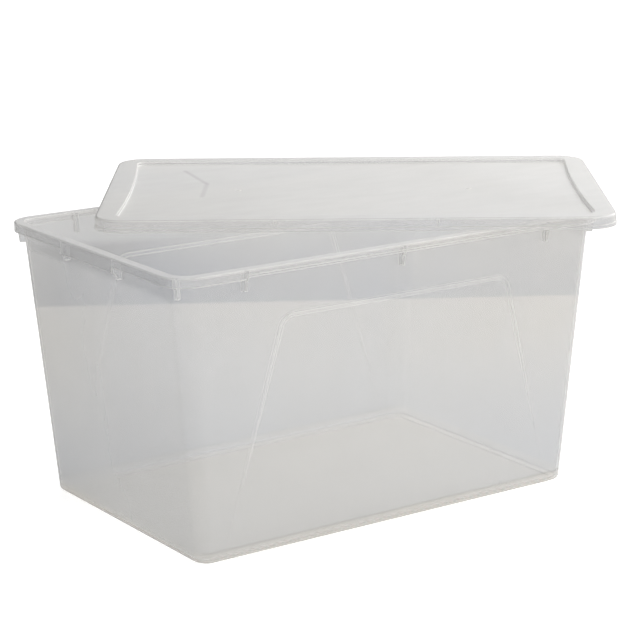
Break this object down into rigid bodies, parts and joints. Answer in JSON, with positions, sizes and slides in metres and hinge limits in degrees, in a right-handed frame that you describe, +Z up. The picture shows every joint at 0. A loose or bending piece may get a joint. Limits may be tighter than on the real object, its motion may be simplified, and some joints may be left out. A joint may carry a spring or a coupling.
{
  "type": "stackable storage bin",
  "caption": "Tapered translucent storage tub with a flanged rim and a loose lid turned askew on top; its foot drops into the lid's sunken panel to stack.",
  "frame": {"origin": "centre of the underside of the tub's foot, the face the bin stands on", "axes": "+Z up; X along the tub's length; Y along its depth, with the wall shown at the front of the resting view at -Y"},
  "size_m": [0.7413, 0.6316, 0.3446],
  "materials": {
    "tub_plastic": "translucent natural polypropylene, smooth",
    "lid_plastic": "translucent natural polypropylene, slightly milky"
  },
  "bodies": {
    "tub": {"tub": "tub_plastic"},
    "lid": {"lid": "lid_plastic"}
  },
  "joints": [
    {"name": "lid_lift", "type": "slide", "parent": "tub", "child": "lid", "axis": [0, 0, 1], "range_m": [0, 0.15]}
  ]
}
